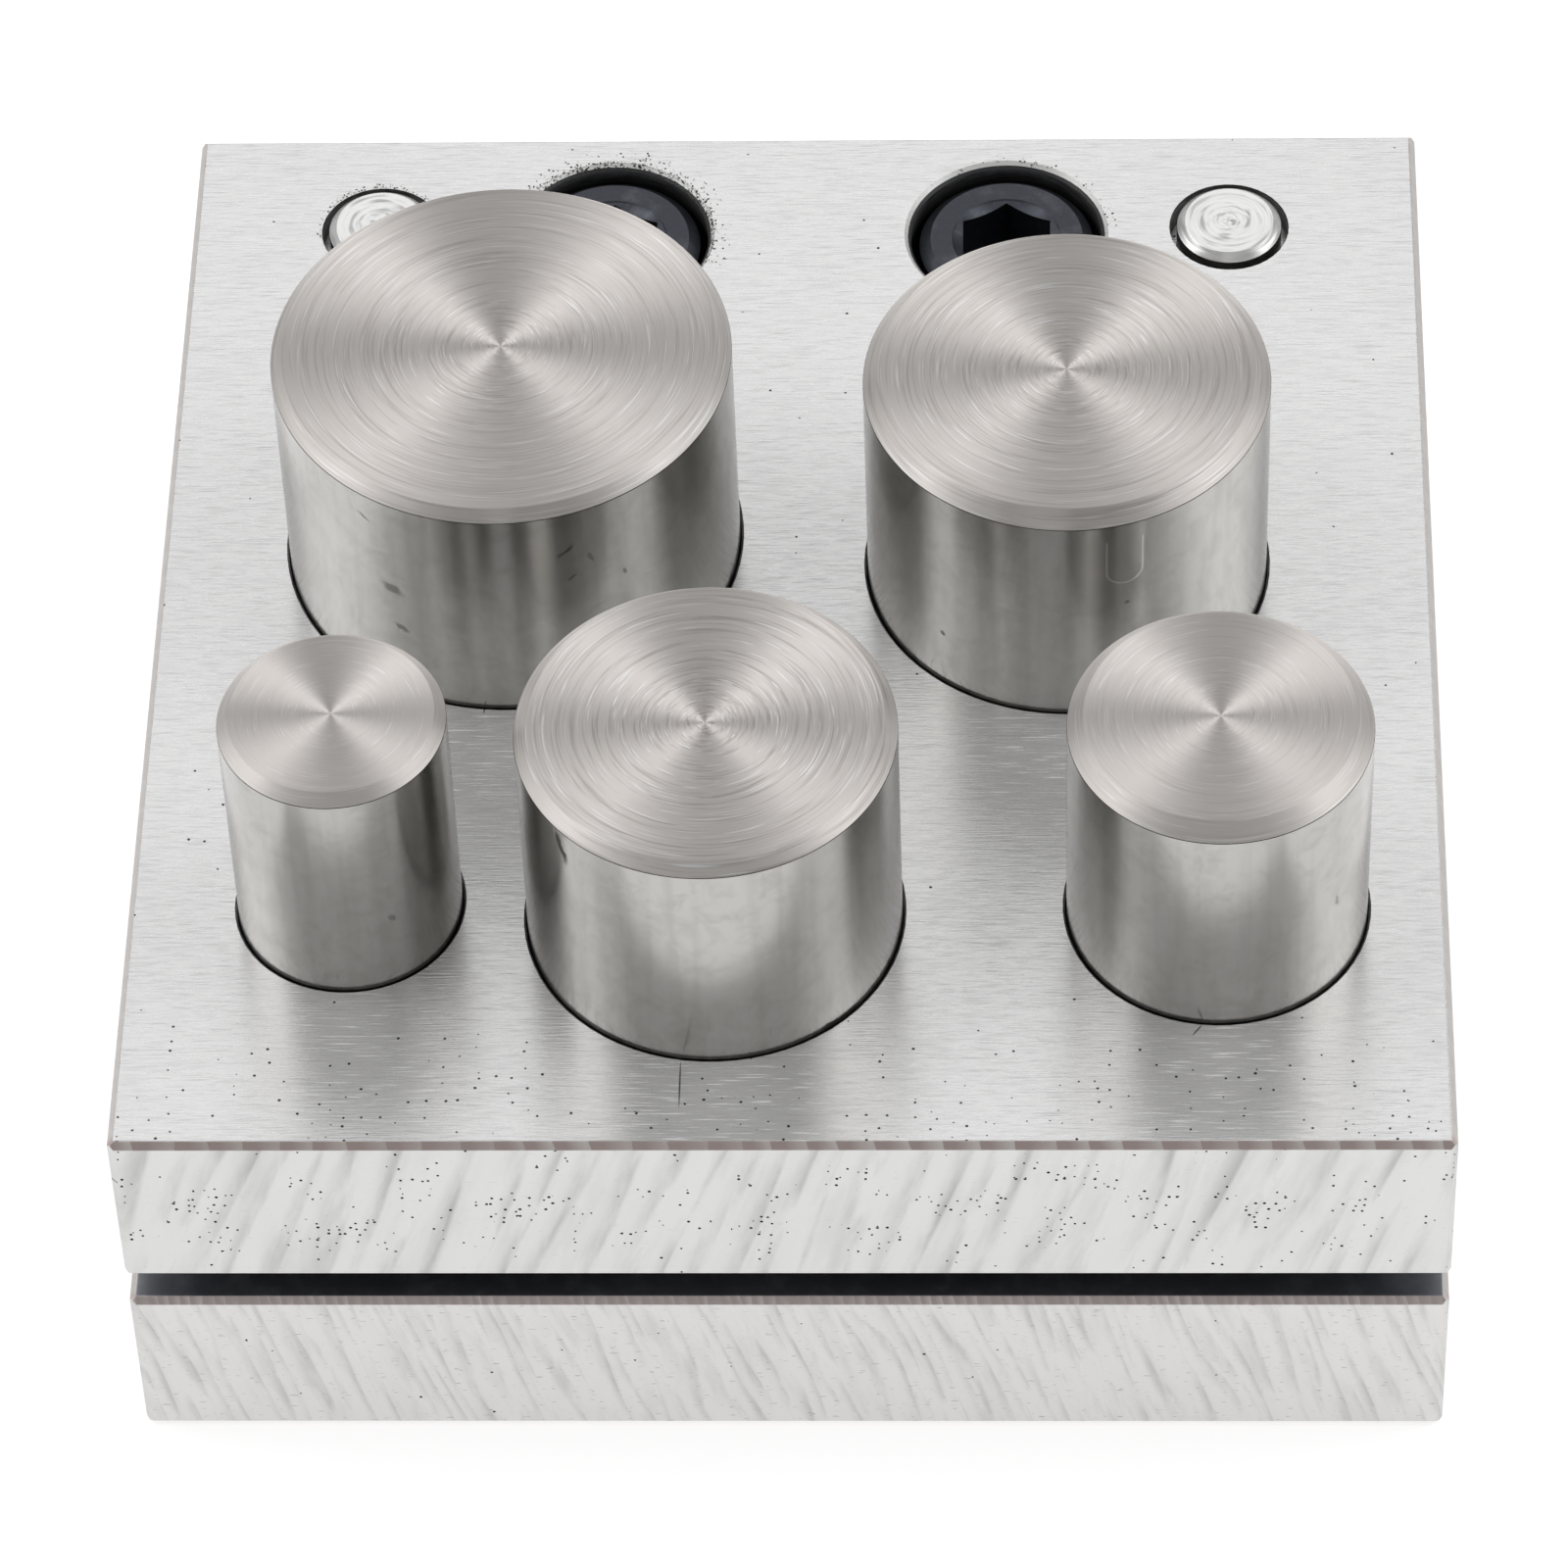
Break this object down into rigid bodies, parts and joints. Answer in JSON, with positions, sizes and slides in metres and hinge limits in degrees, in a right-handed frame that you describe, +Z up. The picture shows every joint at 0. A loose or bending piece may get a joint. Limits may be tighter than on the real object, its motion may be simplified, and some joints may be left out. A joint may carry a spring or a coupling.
{
  "type": "disc cutter",
  "caption": "Square steel punch block for cutting metal discs: a guide plate over a die plate with a sheet slot between them, and loose round punches that slide down through both.",
  "frame": {"origin": "middle of the die plate's underside, on the surface that the block stands on", "axes": "+Z up, the way a punch is drawn out; -Y to the front, where the sheet goes in; +X to the right"},
  "size_m": [0.0704, 0.0742, 0.04],
  "materials": {
    "plate_steel": "surface-ground faces, saw-milled edges",
    "spacer_steel": "rolled and sheared strip",
    "punch_steel": "hardened, ground sides, lathe-faced ends",
    "pin_steel": "ground, with faced ends",
    "black_oxide": "black oxide on alloy steel, oiled"
  },
  "bodies": {
    "block": {"die_plate": "plate_steel", "spacer_strip": "spacer_steel", "guide_plate": "plate_steel", "clamp_screw_left": "black_oxide", "clamp_screw_right": "black_oxide", "dowel_pin_left": "pin_steel", "dowel_pin_right": "pin_steel"},
    "front_left_punch": {"punch_front_left": "punch_steel"},
    "front_middle_punch": {"punch_front_middle": "punch_steel"},
    "front_right_punch": {"punch_front_right": "punch_steel"},
    "rear_left_punch": {"punch_rear_left": "punch_steel"},
    "rear_right_punch": {"punch_rear_right": "punch_steel"}
  },
  "joints": [
    {"name": "front_left_punch_slide", "type": "slide", "parent": "block", "child": "front_left_punch", "axis": [0, 0, 1], "range_m": [0, 0.022]},
    {"name": "front_middle_punch_slide", "type": "slide", "parent": "block", "child": "front_middle_punch", "axis": [0, 0, 1], "range_m": [0, 0.022]},
    {"name": "front_right_punch_slide", "type": "slide", "parent": "block", "child": "front_right_punch", "axis": [0, 0, 1], "range_m": [0, 0.022]},
    {"name": "rear_left_punch_slide", "type": "slide", "parent": "block", "child": "rear_left_punch", "axis": [0, 0, 1], "range_m": [0, 0.022]},
    {"name": "rear_right_punch_slide", "type": "slide", "parent": "block", "child": "rear_right_punch", "axis": [0, 0, 1], "range_m": [0, 0.022]}
  ]
}
